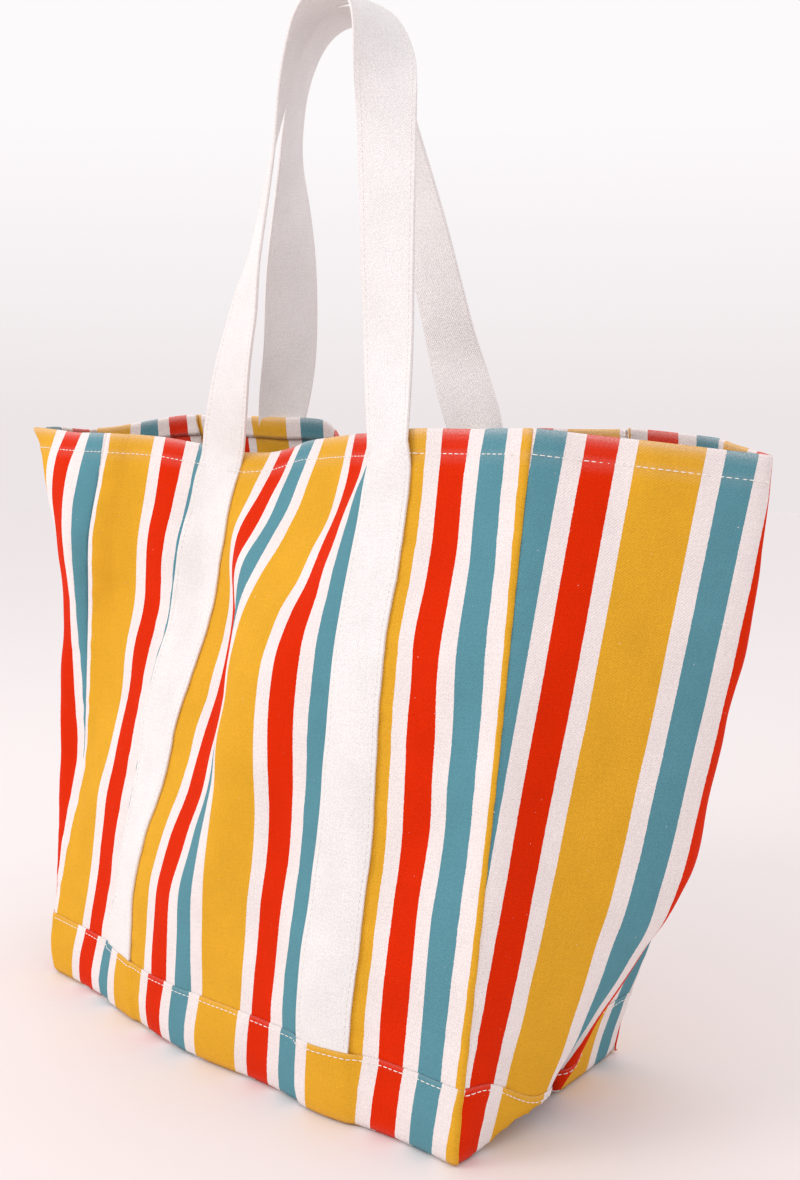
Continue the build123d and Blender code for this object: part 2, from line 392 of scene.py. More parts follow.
def plan_row(wall, height):
    start, stop = (at_height(seams[name], height) for name in WALLS[wall])
    middle = {"right": right_gusset_points, "left": left_gusset_points}.get(wall, lambda h: [])
    corners = np.array([start, *middle(height), stop])
    line, _ = spaced(corners, 600)
    if wall in ("left", "right"):
        spreads = [5, 20, 26, 10] if wall == "right" else [20, 17, 13, 6]
        spread = np.interp(height, [0, 120, 300, HEIGHT], spreads)
        return eased(line, spread)
    across = np.linspace(0, PANEL, len(line))
    outward = -1 if wall == "front" else 1
    folds, steps = (front_folds, front_steps) if wall == "front" else (back_folds, [])
    depth = fold_depth(folds, steps, across, height)
    line[:, 1] -= outward * depth
    return line


def tuck_under(surface, share, height):
    """The pleat draws the gusset's cloth down, and its lowest part turns under the foot."""
    ramp_in = np.clip((share - 0.06) / 0.24, 0, 1)
    ramp_out = np.clip((0.66 - share) / 0.18, 0, 1)
    tucked = ramp_in**2 * (3 - 2 * ramp_in) * ramp_out**2 * (3 - 2 * ramp_out)
    level = surface[:, :, 2] - 27 * tucked * np.clip(1 - height / 230, 0, 1) ** 1.2
    lowest = FOOT_Z + 15 * tucked
    surface[:, :, 0] -= np.maximum(lowest - level, 0)
    surface[:, :, 2] = np.maximum(level, lowest)
    return surface


STRAP = 40.0
STRAP_CENTRES = (106.5, 331.5)


def puckers(wall, share, height):
    """Short ripples where thread draws the cloth up, beside each seam and strap edge."""
    width = PANEL if wall in ("front", "back") else gusset_width(height)
    across = share[None, :] * width + np.zeros_like(height)
    beside = np.minimum(across, width - across)
    if wall in ("front", "back"):
        for centre in STRAP_CENTRES:
            from_strap = np.abs(across - centre) - STRAP / 2
            beside = np.minimum(beside, np.where(from_strap > 0, from_strap, 99))
    ripple = np.sin(height / 23 * 2 * math.pi + 1.7 * np.sin(height / 41) + across / 19)
    ripple += 0.6 * np.sin(height / 14 * 2 * math.pi + across / 9 + 2 * np.sin(height / 57))
    return 0.55 * ripple * np.exp(-beside / 11) * np.clip(beside / 4, 0, 1)


def build_wall(wall):
    rows, lengths = [], []
    for height in np.linspace(0, HEIGHT, ROWS):
        line, length = spaced(plan_row(wall, height), COLUMNS)
        rows.append(line)
        lengths.append(length)
    plan = np.array(rows)
    plan = eased(plan.reshape(ROWS, -1), 3.0).reshape(plan.shape)
    share = np.linspace(0, 1, COLUMNS)
    rise = np.linspace(0, 1, ROWS)[:, None]
    z = FOOT_Z + (rim_z(wall, share)[None, :] - FOOT_Z) * rise
    surface = np.concatenate([plan, z[:, :, None]], 2)
    if wall == "right":
        surface = tuck_under(surface, share[None, :], rise * HEIGHT)
    width = PANEL if wall in ("front", "back") else gusset_width(HEIGHT / 2)
    seam_fade = np.clip(np.minimum(share, 1 - share) * width / 30, 0, 1)[None, :]
    foot_fade = np.clip(rise * HEIGHT / 40, 0, 1)
    out = normals(surface)
    wave = np.zeros(surface.shape[:2])
    for i in range(ROWS):
        for j in range(COLUMNS):
            p = Vector(surface[i, j])
            broad = noise.noise(Vector((p.x / 62, p.y / 62, p.z / 130 + 3)))
            fine = noise.noise(Vector((p.x / 21 + 9, p.y / 21, p.z / 34)))
            wave[i, j] = 5.5 * broad + 1.5 * fine
    surface += out * (wave * seam_fade * foot_fade + puckers(wall, share, rise * HEIGHT))[:, :, None]
    cut = PANEL if wall in ("front", "back") else gusset_width(np.linspace(0, HEIGHT, ROWS))
    used = np.array(lengths) / cut
    print(wall, "cloth used across, share of the cut", used.min().round(3), "to", used.max().round(3))
    return surface


def normals(surface):
    """Outward directions: across a wall from left to right, then up, seen from outside."""
    along = np.gradient(surface, axis=1)
    up = np.gradient(surface, axis=0)
    out = np.cross(along, up)
    return out / np.maximum(np.linalg.norm(out, axis=2, keepdims=True), 1e-9)


surfaces = {wall: build_wall(wall) for wall in WALLS}
directions = {wall: normals(surface) for wall, surface in surfaces.items()}


def on_wall(wall, share, height, lift):
    """Places on a wall: share across it, millimetres up the cloth, millimetres proud."""
    share, height, lift = np.broadcast_arrays(*(np.asarray(v, float) for v in (share, height, lift)))
    a = np.clip(share, 0, 1) * (COLUMNS - 1)
    b = height / HEIGHT * (ROWS - 1)
    j = np.clip(a.astype(int), 0, COLUMNS - 2)
    i = np.clip(np.floor(b).astype(int), 0, ROWS - 2)
    fa, fb = (a - j)[..., None], (b - i)[..., None]

    def read(grid):
        low = grid[i, j] * (1 - fa) + grid[i, j + 1] * fa
        high = grid[i + 1, j] * (1 - fa) + grid[i + 1, j + 1] * fa
        return low * (1 - fb) + high * fb

    out = read(directions[wall])
    out /= np.maximum(np.linalg.norm(out, axis=-1, keepdims=True), 1e-9)
    return read(surfaces[wall]) + out * lift[..., None]


# %% [markdown]
# ## Where the print falls
# The printed repeat runs yellow, white, red, white, teal, white. On the front it starts 5 mm
# before the left seam. On a gusset it is centred on the ridge and runs the other way. We
# keep a place in the repeat in a map, so the print bends with the cloth.

# %% Place in the repeat
def print_place(wall, share, height):
    """Distance along the printed repeat, in repeats."""
    if wall in ("front", "back"):
        taken_in = 3.5 * np.sin(math.pi * height / HEIGHT) * np.clip((share - 0.94) / 0.05, 0, 1)
        return (share * PANEL - 5 - taken_in) / REPEAT
    from_middle = (share - 0.5) * gusset_width(height)
    if wall == "right":
        return (-38.3 - from_middle) / REPEAT
    return (-38.3 + from_middle) / REPEAT


print("front print starts at", round(print_place("front", 0, 0), 3))

# %% [markdown]
# ## Printed canvas
# The print is dyed into the threads, so its edges are a little uneven and the colour shifts
# softly over the cloth. The weave is two sets of threads crossing. White specks of lint and
# thick slubs sit in it, and the print wears pale along turned edges.

# %% Canvas material
def add_node(tree, kind, **settings):
    node = tree.nodes.new(kind)
    for name, value in settings.items():
        setattr(node, name, value)
    return node


def maths(tree, operation, a, b=None, c=None):
    node = add_node(tree, "ShaderNodeMath", operation=operation)
    for socket, value in zip(node.inputs, (a, b, c)):
        if value is None:
            continue
        if isinstance(value, (int, float)):
            socket.default_value = value
        else:
            tree.links.new(value, socket)
    return node.outputs[0]


def mix_colour(tree, share, a, b, blend="MIX"):
    node = add_node(tree, "ShaderNodeMix", data_type="RGBA", blend_type=blend)
    for socket, value in zip((node.inputs[0], node.inputs[6], node.inputs[7]), (share, a, b)):
        if isinstance(value, (int, float, tuple)):
            socket.default_value = value
        else:
            tree.links.new(value, socket)
    return node.outputs[2]


def linear(r, g, b):
    """A screen colour, 0 to 255, as the light it stands for."""
    def one(v):
        v = v / 255
        return v / 12.92 if v <= 0.04045 else ((v + 0.055) / 1.055) ** 2.4
    return (one(r), one(g), one(b), 1.0)


def noise_of(tree, vector, scale, detail=2.0):
    node = add_node(tree, "ShaderNodeTexNoise")
    node.inputs["Scale"].default_value = scale
    node.inputs["Detail"].default_value = detail
    tree.links.new(vector, node.inputs["Vector"])
    return node.outputs["Fac"]


def stretched(tree, vector, scale):
    node = add_node(tree, "ShaderNodeMapping", vector_type="POINT")
    node.inputs["Scale"].default_value = scale
    tree.links.new(vector, node.inputs["Vector"])
    return node.outputs[0]


def weave_height(tree, across, up, pitch):
    """Threads over and under, as a height from 0 to 1."""
    turns = 2 * math.pi / pitch
    warp = maths(tree, "SINE", maths(tree, "MULTIPLY", across, turns))
    weft = maths(tree, "SINE", maths(tree, "MULTIPLY", up, turns))
    twill = maths(tree, "SINE", maths(tree, "MULTIPLY", maths(tree, "ADD", across, up), turns / 2))
    crossed = maths(tree, "MULTIPLY", warp, weft)
    return maths(tree, "MULTIPLY_ADD", maths(tree, "ADD", crossed, twill), 0.25, 0.5)


YELLOW, RED, TEAL = linear(229, 170, 46), linear(222, 43, 0), linear(92, 147, 160)
WHITE = linear(242, 232, 230)
STRIPES = [(0, YELLOW), (37, WHITE), (48, RED), (66.5, WHITE), (77.5, TEAL), (95, WHITE)]


def cloth_material(name, striped, base, pitch, sheen):
    material = bpy.data.materials.new(name)
    material.use_nodes = True
    tree = material.node_tree
    shader = tree.nodes["Principled BSDF"]
    cloth_map = add_node(tree, "ShaderNodeUVMap", uv_map="cloth").outputs[0]
    split = add_node(tree, "ShaderNodeSeparateXYZ")
    tree.links.new(cloth_map, split.inputs[0])
    across, up = split.outputs[0], split.outputs[1]
    slow = noise_of(tree, cloth_map, 3.0)
    threads = noise_of(tree, cloth_map, 90.0)
    warp_streaks = noise_of(tree, stretched(tree, cloth_map, (150.0, 7.0, 1.0)), 1.0)
    weft_streaks = noise_of(tree, stretched(tree, cloth_map, (8.0, 150.0, 1.0)), 1.0)
    if striped:
        uneven = maths(tree, "MULTIPLY_ADD", noise_of(tree, cloth_map, 45.0), 0.006, -0.003)
        place = maths(tree, "FRACT", maths(tree, "ADD", across, uneven))
        ramp = add_node(tree, "ShaderNodeValToRGB")
        ramp.color_ramp.interpolation = "CONSTANT"
        stops = ramp.color_ramp.elements
        while len(stops) < len(STRIPES):
            stops.new(0.5)
        for stop, (start, colour) in zip(stops, STRIPES):
            stop.position = start / REPEAT
            stop.color = colour
        tree.links.new(place, ramp.inputs[0])
        colour = ramp.outputs[0]
    else:
        colour = mix_colour(tree, 0.0, base, base)
    shade = maths(tree, "MULTIPLY_ADD", slow, 0.16, 0.90)
    streaks = maths(tree, "MULTIPLY_ADD", maths(tree, "ADD", warp_streaks, weft_streaks), 0.15, 0.85)
    shade_thread = maths(tree, "MULTIPLY", maths(tree, "MULTIPLY_ADD", threads, 0.32, 0.84), streaks)
    grey = add_node(tree, "ShaderNodeCombineColor")
    both = maths(tree, "MULTIPLY", shade, shade_thread)
    for socket in grey.inputs:
        tree.links.new(both, socket)
    colour = mix_colour(tree, 1.0, colour, grey.outputs[0], "MULTIPLY")
    worn = add_node(tree, "ShaderNodeAttribute", attribute_name="worn").outputs["Fac"]
    faded = maths(tree, "MULTIPLY", worn, maths(tree, "MULTIPLY_ADD", threads, 0.5, 0.05))
    colour = mix_colour(tree, faded, colour, WHITE)
    specks = maths(tree, "GREATER_THAN", noise_of(tree, cloth_map, 52.0, 4.0), 0.745)
    colour = mix_colour(tree, maths(tree, "MULTIPLY", specks, 0.75), colour, WHITE)
    tree.links.new(colour, shader.inputs["Base Color"])
    rough = maths(tree, "MULTIPLY_ADD", threads, 0.16, 0.76)
    tree.links.new(rough, shader.inputs["Roughness"])
    shader.inputs["Sheen Weight"].default_value = sheen
    shader.inputs["Sheen Roughness"].default_value = 0.5
    shader.inputs["Specular IOR Level"].default_value = 0.06
    height = weave_height(tree, across, up, pitch)
    slubs = maths(tree, "MULTIPLY", noise_of(tree, cloth_map, 38.0, 3.0), 1.6)
    bump = add_node(tree, "ShaderNodeBump")
    bump.inputs["Strength"].default_value = 0.75
    bump.inputs["Distance"].default_value = 0.0004
    tree.links.new(maths(tree, "ADD", height, slubs), bump.inputs["Height"])
    tree.links.new(bump.outputs[0], shader.inputs["Normal"])
    return material


THREAD_PITCH = 1.0 / REPEAT
canvas = cloth_material("printed_canvas", True, WHITE, THREAD_PITCH, 0.015)
strap_cloth = cloth_material("white_strap_canvas", False, linear(240, 237, 236), THREAD_PITCH, 0.03)
inner_cloth = cloth_material("seam_canvas", True, WHITE, THREAD_PITCH, 0.015)
print("canvas stripes", len(STRIPES))

# %% [markdown]
# ## Sewing thread
# Thread is twisted and slightly glossy. A fine diagonal wave of painted shade stands for the twist: its
# darker bands are shade painted into the grooves of a thread that is one white.

# %% Thread material
thread = bpy.data.materials.new("white_thread")
thread.use_nodes = True
thread_tree = thread.node_tree
thread_shader = thread_tree.nodes["Principled BSDF"]
thread_shader.inputs["Roughness"].default_value = 0.5
thread_shader.inputs["Sheen Weight"].default_value = 0.2
thread_place = add_node(thread_tree, "ShaderNodeTexCoord").outputs["Object"]
twist = add_node(thread_tree, "ShaderNodeTexWave", wave_type="BANDS", bands_direction="DIAGONAL")
twist.inputs["Scale"].default_value = 600
thread_tree.links.new(thread_place, twist.inputs["Vector"])
# Painted shade: the darker colour is shade in the grooves of the twist, and the lighter one is the
# thread's own white.
THREAD_TWIST_SHADE, THREAD_LIGHT = linear(232, 224, 216), linear(252, 250, 246)
thread_colour = mix_colour(thread_tree, twist.outputs["Fac"], THREAD_TWIST_SHADE, THREAD_LIGHT)
thread_tree.links.new(thread_colour, thread_shader.inputs["Base Color"])
print("thread material made")

# %% [markdown]
# ## From a grid of places to cloth
# A piece of cloth is a grid of places joined into faces. The Solidify modifier gives it its
# thickness, and is applied so the mesh is final.

# %% Cloth maker
def collect(mesh, name, material):
    mesh.materials.append(material)
    piece = bpy.data.objects.new(name, mesh)
    bpy.context.scene.collection.objects.link(piece)
    return piece


def cloth_piece(name, places, across, up, worn, material, thickness=CLOTH):
    rows, columns = places.shape[:2]
    index = np.arange(rows * columns).reshape(rows, columns)
    faces = np.stack([index[:-1, :-1], index[:-1, 1:], index[1:, 1:], index[1:, :-1]], -1)
    mesh = bpy.data.meshes.new(name)
    mesh.from_pydata((places.reshape(-1, 3) * MM).tolist(), [], faces.reshape(-1, 4).tolist())
    layer = mesh.uv_layers.new(name="cloth")
    corners = np.zeros(len(mesh.loops), np.int32)
    mesh.loops.foreach_get("vertex_index", corners)
    flat = np.stack([across.ravel(), up.ravel()], 1)
    layer.data.foreach_set("uv", flat[corners].astype(np.float32).ravel())
    wear = mesh.attributes.new("worn", "FLOAT", "POINT")
    wear.data.foreach_set("value", worn.astype(np.float32).ravel())
    mesh.polygons.foreach_set("use_smooth", [True] * len(mesh.polygons))
    piece = collect(mesh, name, material)
    solid = piece.modifiers.new("thickness", "SOLIDIFY")
    solid.thickness, solid.offset = thickness * MM, 0
    finished = bpy.data.meshes.new_from_object(
        piece.evaluated_get(bpy.context.evaluated_depsgraph_get())
    )
    piece.modifiers.clear()
    piece.data = finished
    return piece


def sew_in(piece, body, slot, *nodes):
    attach(piece, body)
    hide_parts(*nodes)


print("cloth maker ready")

# %% [markdown]
# ## Walls and their turned hems
# Each wall runs up to the rim, turns over and comes 15 mm back down inside, as the maker
# folds it. The front and back end in a narrow turned edge at the corner seams, proud of the
# gusset, which is why a thin yellow line shows along the near corner.

# %% Walls
hem_turn = [(HEIGHT - 0.2, 0.1), (HEIGHT + 0.7, -0.3), (HEIGHT + 0.8, -1.1), (HEIGHT - 0.1, -1.7)]


def wall_profile():
    """Heights up the cloth and how proud each row lies, foot to the hem's raw edge."""
    flat = [(h, 0.0) for h in np.arange(0, HEIGHT - 1, GRID)]
    down = [(h, -1.75) for h in np.linspace(HEIGHT - 3, HEIGHT - HEM, 5)]
    return np.array(flat + hem_turn + down)


def wall_columns(wall):
    """Shares across the wall and how the edge columns turn in at the seams."""
    count = int((PANEL if wall in ("front", "back") else GUSSET_RIM) / GRID)
    shares = np.linspace(0, 1, count)
    if wall in ("front", "back"):
        turn = [(0.0, -2.2), (0.0, -1.3), (0.0015, -0.4), (0.004, 0.1), (0.008, 0.3), (0.013, 0.2)]
        inner = [(s, 0.0) for s in shares if 0.018 < s < 0.982]
        return np.array(turn + inner + [(1 - s, lift) for s, lift in reversed(turn)])
    return np.array([(s, -2.4 * math.exp(-min(s, 1 - s) * 60)) for s in shares])


def make_wall(wall):
    profile, columns = wall_profile(), wall_columns(wall)
    height, share = np.meshgrid(profile[:, 0], columns[:, 0], indexing="ij")
    lift = profile[:, 1][:, None] + columns[:, 1][None, :]
    pucker = 0.45 * np.sin(share * PANEL / 7.5 * 2 * math.pi + 2 * np.sin(share * 40))
    lift = lift + pucker * np.exp(-0.5 * ((height - HEIGHT + HEM) / 5) ** 2)
    places = on_wall(wall, share, height, lift)
    from_rim = np.abs(height - HEIGHT)
    worn = np.exp(-from_rim / 2.2) + 0.5 * np.exp(-np.abs(from_rim - HEM) / 1.5)
    return cloth_piece(wall + "_canvas", places, print_place(wall, share, height),
                       height / REPEAT, np.clip(worn, 0, 1), canvas)


walls = {wall: make_wall(wall) for wall in WALLS}
for wall in ("front", "back"):
    sew_in(walls[wall], "bag", "striped_canvas", wall + "_panel", wall + "_rim_hem")
for wall in ("left", "right"):
    sew_in(walls[wall], "bag", "striped_canvas", wall + "_gusset", wall + "_rim_hem")
print("walls", {w: len(p.data.polygons) for w, p in walls.items()})

# %% [markdown]
# ## The foot
# The foot is one flat sheet between the four lower edges. It is laid as lines from the front
# edge to the back edge, so it keeps their curves, and it rises only to meet the right gusset.

# %% Foot
def make_foot():
    shares = np.linspace(0, 1, 110)
    front = on_wall("front", shares, 0, -1.5)
    back = on_wall("back", 1 - shares, 0, -1.5)
    depth = np.linspace(0, 1, 50)[:, None, None]
    places = front[None] * (1 - depth) + back[None] * depth
    right = on_wall("right", depth[:, 0, 0], 0, -1.5)
    left = on_wall("left", 1 - depth[:, 0, 0], 0, -1.5)
    pull = shares[None, :, None] ** 6
    places += pull * (right - places[:, -1])[:, None]
    places += (1 - shares)[None, :, None] ** 6 * (left - places[:, 0])[:, None]
    places[:, :, 2] = FOOT_Z + pull[:, :, 0] * np.clip(right[:, 2] - FOOT_Z, 0, None)[:, None]
    across = np.broadcast_to(shares * PANEL / REPEAT, places.shape[:2])
    up = np.broadcast_to(depth[:, :, 0] * GUSSET_FOOT / REPEAT, places.shape[:2])
    worn = np.zeros(places.shape[:2])
    return cloth_piece("foot_canvas", places, across, up, worn, canvas, 1.6)


foot = make_foot()
sew_in(foot, "bag", "striped_canvas", "base_panel")
print("foot faces", len(foot.data.polygons))

# %% [markdown]
# ## The lapped band
# A second layer wraps the foot of every wall. Its top edge is folded under and stitched, and
# the strap ends are caught beneath it, so it rises over each strap. Its print sits a few
# millimetres off the wall's print, as it does when a piece is cut from further along.

# %% Band
def print_shift(wall, share, height):
    """How far the band's print sits off the wall's, in millimetres; it was cut a little askew."""
    if wall in ("left", "right"):
        return -3.0 + np.zeros_like(share)
    return 4.5 - 6.5 * share + (BAND - height) * (0.22 - 0.14 * share)


def over_straps(wall, share):
    """1 where the band lies over a strap, 0 beside it, with a short slope between."""
    if wall in ("left", "right"):
        return np.zeros_like(share)
    total = np.zeros_like(share)
    for centre in STRAP_CENTRES:
        beside = np.abs(share * PANEL - centre) - STRAP / 2
        total = np.maximum(total, np.clip(1 - beside / 5, 0, 1))
    return total


band_profile = np.array(
    [(0.4, -1.0), (0.8, 0.5), (3, 1.0)]
    + [(h, 1.1) for h in np.arange(6, BAND - 3, 3.0)]
    + [(BAND - 2.2, 1.1), (BAND - 0.6, 1.1), (BAND + 0.1, 0.95), (BAND - 0.5, 0.7), (BAND - 7, 0.65)]
)


def make_band(wall):
    columns = wall_columns(wall)
    height, share = np.meshgrid(band_profile[:, 0], columns[:, 0], indexing="ij")
    lift = band_profile[:, 1][:, None] + columns[:, 1][None, :] + 2.1 * over_straps(wall, share)
    pucker = 0.35 * np.sin(share * PANEL / 8 * 2 * math.pi + 3 * np.sin(share * 31))
    lift = lift + pucker * np.exp(-0.5 * ((height - BAND + 4) / 4) ** 2)
    places = on_wall(wall, share, height, lift)
    worn = np.clip(0.35 * np.exp(-np.abs(height - BAND) / 0.8) + 0.3 * np.exp(-height / 2), 0, 1)
    return cloth_piece(wall + "_band_canvas", places,
                       print_place(wall, share, height) + print_shift(wall, share, height) / REPEAT,
                       height / REPEAT + 0.37, worn, canvas, 0.8)


bands = {}
for wall in WALLS:
    bands[wall] = make_band(wall)
    sew_in(bands[wall], "bag", "striped_canvas", wall + "_base_band")
print("band faces", sum(len(b.data.polygons) for b in bands.values()))

# %% [markdown]
# ## Seam allowances inside
# Where two walls meet, their edges are turned in together and left as a narrow double strip.
# They show only from inside, but without them the bag would have no seams.

# %% Corner and foot seams
SEAM = 10.0


def seam_strip(name, wall, share_from, share_to, heights, node):
    height, share = np.meshgrid(heights, np.linspace(share_from, share_to, 5), indexing="ij")
    places = on_wall(wall, share, height, -2.6)
    piece = cloth_piece(name, places, print_place(wall, share, height), height / REPEAT,
                        np.full(share.shape, 0.4), inner_cloth, 1.4)
    sew_in(piece, "bag", "striped_canvas", node)


corner_heights = np.arange(8, HEIGHT - HEM - 1, 5.0)
inset = SEAM / PANEL
for face in ("front", "back"):
    for hand in ("left", "right"):
        at_start = (face == "front") == (hand == "left")
        ends = (0.008, inset) if at_start else (1 - inset, 0.992)
        seam_strip(f"{face}_{hand}_seam_edge", face, *ends, corner_heights,
                   f"{face}_{hand}_corner_seam")
for wall in WALLS:
    height, share = np.meshgrid(np.linspace(3, SEAM, 4), np.linspace(0.03, 0.97, 90), indexing="ij")
    places = on_wall(wall, share, height, -2.6)
    edge = cloth_piece(wall + "_foot_seam_edge", places, print_place(wall, share, height),
                       height / REPEAT, np.full(share.shape, 0.4), inner_cloth, 1.4)
    sew_in(edge, "bag", "striped_canvas", wall + "_base_seam")
print("seam strips made")

# %% [markdown]
# ## The straps
# Each strap is one length of folded white canvas. It is sewn up the panel, leaves it at the
# rim, turns edge on as it climbs, passes over the top with its width front to back, and comes
# down the same way. We set a few stations (x, y, z, and the angle of its width seen from
# above) and draw a smooth line through them.

# %% Strap stations
handle_stations = {
    "front": [(-76, -29, 462, -4), (-58, -31, 508, -14), (-47, -31, 540, -28), (-31, -27, 608, -37),
              (-19, -25, 656, -50), (-3, -24, 688, -56), (26, -24, 703, -66), (58, -20, 692, -84),
              (72, -22, 664, -112), (78, -25, 630, -150), (85, -31, 582, -163), (92, -38, 535, -169),
              (98, -43, 478, -176)],
    "back": [(77, 43, 465, 190), (69, 36, 508, 184), (58, 30, 560, 176), (47, 25, 610, 162),
             (37, 22, 655, 148), (22, 20, 688, 140), (-2, 18, 702, 134), (-28, 15, 694, 128),
             (-48, 14, 668, 124), (-59, 16, 640, 121), (-67, 20, 612, 116), (-72, 25, 580, 98),
             (-80, 31, 527, 68), (-91, 38, 474, 48)],
}
strap_foot, strap_lift = 33.0, 1.75
leg_heights = np.arange(strap_foot, HEIGHT - 3, 4.0)
print("stations", {k: len(v) for k, v in handle_stations.items()})

# %% [markdown]
# ## Laying a strap
# The sewn leg reads its place from the wall, edge to edge. The free handle reads from the
# stations. Both become a middle line and a direction across it.

# %% Strap line
def smooth_through(points, step):
    """An even line through points (a Catmull-Rom curve)."""
    p = np.vstack([2 * points[0] - points[1], points, 2 * points[-1] - points[-2]])
    out = []
    for a, b, c, d in zip(p[:-3], p[1:-2], p[2:-1], p[3:]):
        count = max(2, int(np.linalg.norm((c - b)[:3]) / step))
        for t in np.arange(count) / count:
            out.append(0.5 * (2 * b + (c - a) * t + (2 * a - 5 * b + 4 * c - d) * t**2
                              + (3 * b - a - 3 * c + d) * t**3))
    return np.array(out + [p[-2]])


def leg_line(face, centre):
    share = centre / PANEL
    half = STRAP / 2 / PANEL
    middle = on_wall(face, share, leg_heights, strap_lift)
    left = on_wall(face, share - half, leg_heights, strap_lift)
    right = on_wall(face, share + half, leg_heights, strap_lift)
    across = right - left
    return middle, across / np.linalg.norm(across, axis=1, keepdims=True)


def strap_line(face):
    """A whole strap: its middle line, the directions across and out, and the run along it."""
    up_line, up_across = leg_line(face, STRAP_CENTRES[0])
    down_line, down_across = leg_line(face, STRAP_CENTRES[1])
    stations = np.array(handle_stations[face], float)
    start_angle = math.degrees(math.atan2(up_across[-1][1], up_across[-1][0]))
    stop_angle = math.degrees(math.atan2(-down_across[-1][1], -down_across[-1][0]))
    want_start, want_stop = stations[0, 3], stations[-1, 3]
    start_angle += 360 * round((want_start - start_angle) / 360)
    stop_angle += 360 * round((want_stop - stop_angle) / 360)
    ends = [np.append(up_line[-4], start_angle), np.append(up_line[-1], start_angle)]
    tail = [np.append(down_line[-1], stop_angle), np.append(down_line[-4], stop_angle)]
    free = smooth_through(np.vstack([ends, stations, tail]), 4.0)
    skip = int(round(np.linalg.norm(up_line[-1] - up_line[-4]) / 4.0))
    free = free[skip + 1 : -skip - 1]
    angle = np.radians(free[:, 3])
    free_across = np.stack([np.cos(angle), np.sin(angle), np.zeros(len(free))], 1)
    middle = np.vstack([up_line, free[:, :3], down_line[::-1]])
    across = np.vstack([up_across, free_across, -down_across[::-1]])
    near_rim = slice(len(leg_heights) - 4, -(len(leg_heights) - 4))
    middle[near_rim] = eased(middle[near_rim], 2.2)
    across = eased(across, 1.5)
    forward = np.gradient(middle, axis=0)
    forward /= np.linalg.norm(forward, axis=1, keepdims=True)
    across -= forward * np.sum(across * forward, axis=1, keepdims=True)
    across /= np.linalg.norm(across, axis=1, keepdims=True)
    run = np.concatenate([[0], np.cumsum(np.linalg.norm(np.diff(middle, axis=0), axis=1))])
    return middle, across, np.cross(across, forward), run


strap_lines = {face: strap_line(face) for face in ("front", "back")}
print("strap lengths", {f: round(line[3][-1]) for f, line in strap_lines.items()})

# %% [markdown]
# ## Strap cloth
# The strap is folded canvas about 2 mm thick.
# Over the leg its cross-section follows the panel, and in the handle it stays nearly flat.


def bend_at_rim(piece):
    """Bake the piece's placement into its mesh; it keeps the shape drawn through the strap stations."""
    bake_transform(piece)


def strap_surface(face, offset, lift):
    """Places on a strap: millimetres right of its middle line and proud of its middle layer."""
    middle, across, outward, _ = strap_lines[face]
    bow = 0.35 * (1 - (offset / 20) ** 2)
    return (middle[:, None] + across[:, None] * offset[None, :, None]
            + outward[:, None] * (lift + bow)[None, :, None])


def conform(face, places, offset, lift):
    """On the sewn legs, take each place from the wall itself."""
    leg = len(leg_heights)
    keep = leg - 4
    fade = np.ones(leg)
    fade[keep:] = np.linspace(0.8, 0.0, leg - keep)
    for centre, rows, sign in ((STRAP_CENTRES[0], slice(0, leg), 1),
                               (STRAP_CENTRES[1], slice(-1, -leg - 1, -1), -1)):
        h, o = np.meshgrid(leg_heights, offset * sign, indexing="ij")
        sewn = on_wall(face, (centre + o) / PANEL, h, strap_lift + lift[None, :])
        places[rows] = places[rows] * (1 - fade)[:, None, None] + sewn * fade[:, None, None]
    return places


def make_strap(face):
    offset = np.array([-20, -19.6, -18.5, -14, -9, -4.5, 0, 4.5, 9, 14, 18.5, 19.6, 20])
    lift = np.zeros(len(offset))
    places = conform(face, strap_surface(face, offset, lift), offset, lift)
    run = strap_lines[face][3]
    across = np.broadcast_to(offset / REPEAT, places.shape[:2])
    up = np.broadcast_to(run[:, None] / REPEAT, places.shape[:2])
    worn = np.broadcast_to(np.exp(-(20 - np.abs(offset)) / 1.2), places.shape[:2])
    strap = cloth_piece(face + "_strap", places, across, up, worn, strap_cloth, 2.0)
    return strap, run[-1]


for face in ("front", "back"):
    strap, length = make_strap(face)
    bend_at_rim(strap)
    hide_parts(face + "_strap_left_leg", face + "_strap_right_leg", face + "_handle_loop")
    print(face, "strap", round(length), "mm")

# %% [markdown]
# ## Stitches
# A row of stitches is many short lengths of thread, each sunk at both ends where it goes
# through the cloth. One small spindle is repeated along the row, so the row has real relief.

# %% Stitch maker
STITCH, STITCH_GAP = 3.3, 0.9
THREAD = 0.34
spindle = [(0.0, 0.35, -0.35), (0.12, 0.8, 0.0), (0.5, 1.0, 0.14), (0.88, 0.8, 0.0), (1.0, 0.35, -0.35)]


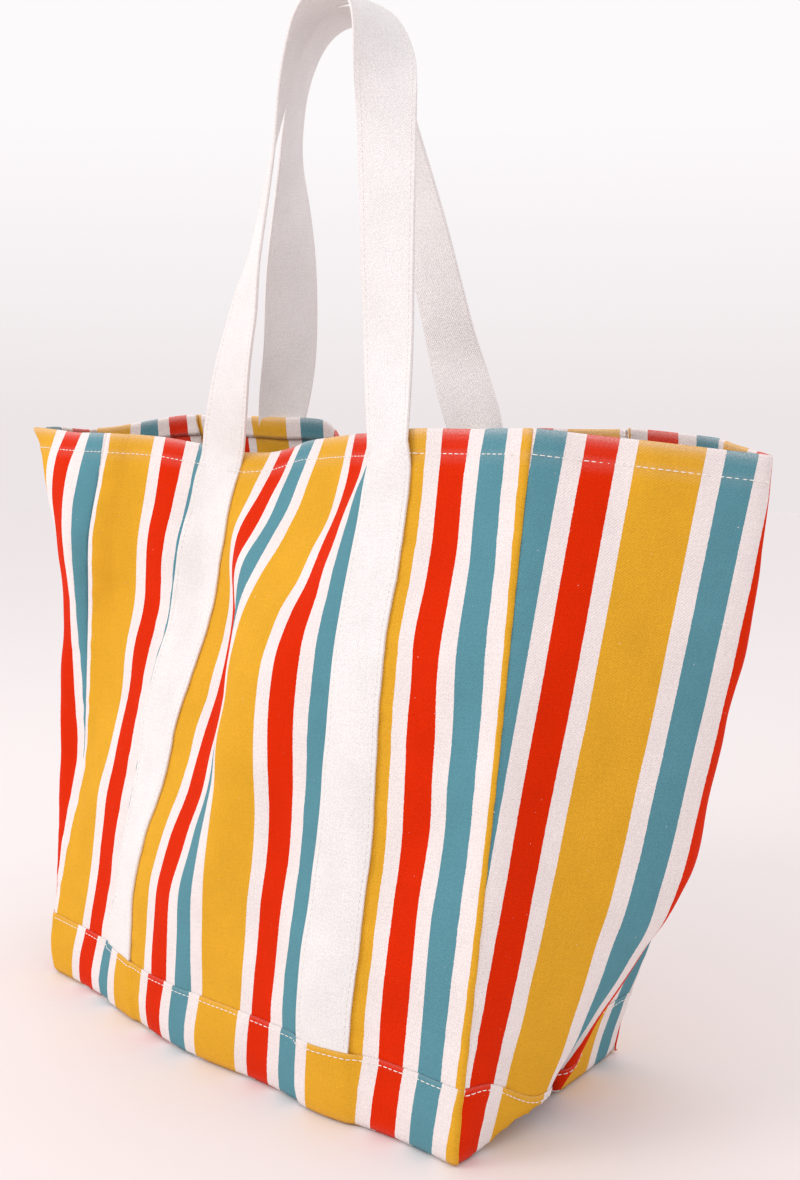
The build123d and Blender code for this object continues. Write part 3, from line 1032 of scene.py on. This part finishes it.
def stitch_row(line, out, keep=None):
    """Spindles along a line of places, standing on the side that out points to."""
    run = np.concatenate([[0], np.cumsum(np.linalg.norm(np.diff(line, axis=0), axis=1))])
    points, faces = [], []
    for begin in np.arange(0.5, run[-1] - STITCH, STITCH + STITCH_GAP):
        if keep is not None and not keep(begin / run[-1]):
            continue
        at = begin + np.array([s[0] for s in spindle]) * STITCH
        middle = np.stack([np.interp(at, run, line[:, k]) for k in range(3)], 1)
        up = np.stack([np.interp(at, run, out[:, k]) for k in range(3)], 1)
        ahead = middle[-1] - middle[0]
        ahead /= np.linalg.norm(ahead)
        side = np.cross(up, ahead)
        side /= np.linalg.norm(side, axis=1, keepdims=True)
        base = len(points)
        for k, (_, size, rise) in enumerate(spindle):
            for turn in range(6):
                angle = turn * math.pi / 3
                points.append(middle[k] + up[k] * (rise + size * THREAD * math.sin(angle))
                              + side[k] * size * THREAD * math.cos(angle))
        for k in range(len(spindle) - 1):
            for turn in range(6):
                a, b = base + 6 * k + turn, base + 6 * k + (turn + 1) % 6
                faces.append((a, b, b + 6, a + 6))
        faces.append(tuple(base + t for t in range(5, -1, -1)))
        faces.append(tuple(base + 6 * (len(spindle) - 1) + t for t in range(6)))
    return points, faces


def stitch_piece(name, rows):
    points, faces = [], []
    for row_points, row_faces in rows:
        base = len(points)
        points += row_points
        faces += [tuple(base + v for v in f) for f in row_faces]
    mesh = bpy.data.meshes.new(name)
    mesh.from_pydata([tuple(float(v) * MM for v in p) for p in points], [], faces)
    mesh.polygons.foreach_set("use_smooth", [True] * len(mesh.polygons))
    piece = collect(mesh, name, thread)
    return piece


def wall_row(wall, height, lift):
    share = np.linspace(0.008, 0.992, 240)
    line = on_wall(wall, share, height, lift + 2.3 * over_straps(wall, share))
    return stitch_row(line, line_out(wall, share, height))


def line_out(wall, share, height):
    out = on_wall(wall, share, height, 1.0) - on_wall(wall, share, height, 0.0)
    return out / np.linalg.norm(out, axis=1, keepdims=True)


print("one stitch every", STITCH + STITCH_GAP, "mm")

# %% [markdown]
# ## Rows round the rim and the band
# One row holds the hem, 15 mm below the rim. Another holds the top edge of the band.

# %% Rim and band stitching
rim_stitches = stitch_piece("rim_stitches", [wall_row(w, HEIGHT - HEM + 1, 0.65) for w in WALLS])
band_stitches = stitch_piece("band_stitches", [wall_row(w, BAND - 3, 1.6) for w in WALLS])
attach(rim_stitches, "bag")
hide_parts("rim_topstitch")
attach(band_stitches, "bag")
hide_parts("base_band_topstitch")
print("rim and band stitch faces", len(rim_stitches.data.polygons) + len(band_stitches.data.polygons))

# %% [markdown]
# ## Rows along the straps
# Both edges of each strap are topstitched from the band to the other band, 3 mm in.

# %% Strap stitching
STRAP_ROWS = (-17.0, 17.0)


def strap_edge(face, offset, lift):
    """One line of places along a whole strap."""
    offset, lift = np.array([offset]), np.array([lift])
    return conform(face, strap_surface(face, offset, lift), offset, lift)[:, 0]


for face in ("front", "back"):
    rows = []
    for offset in STRAP_ROWS:
        top, low = strap_edge(face, offset, 1.0), strap_edge(face, offset, 0.0)
        out = (top - low) / np.linalg.norm(top - low, axis=1, keepdims=True)
        rows.append(stitch_row(top[3:-3], out[3:-3]))
    stitches = stitch_piece(face + "_strap_stitches", rows)
    bend_at_rim(stitches)
    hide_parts(face + "_strap_topstitch", face + "_handle_topstitch")
    print(face, "strap stitch faces", len(stitches.data.polygons))
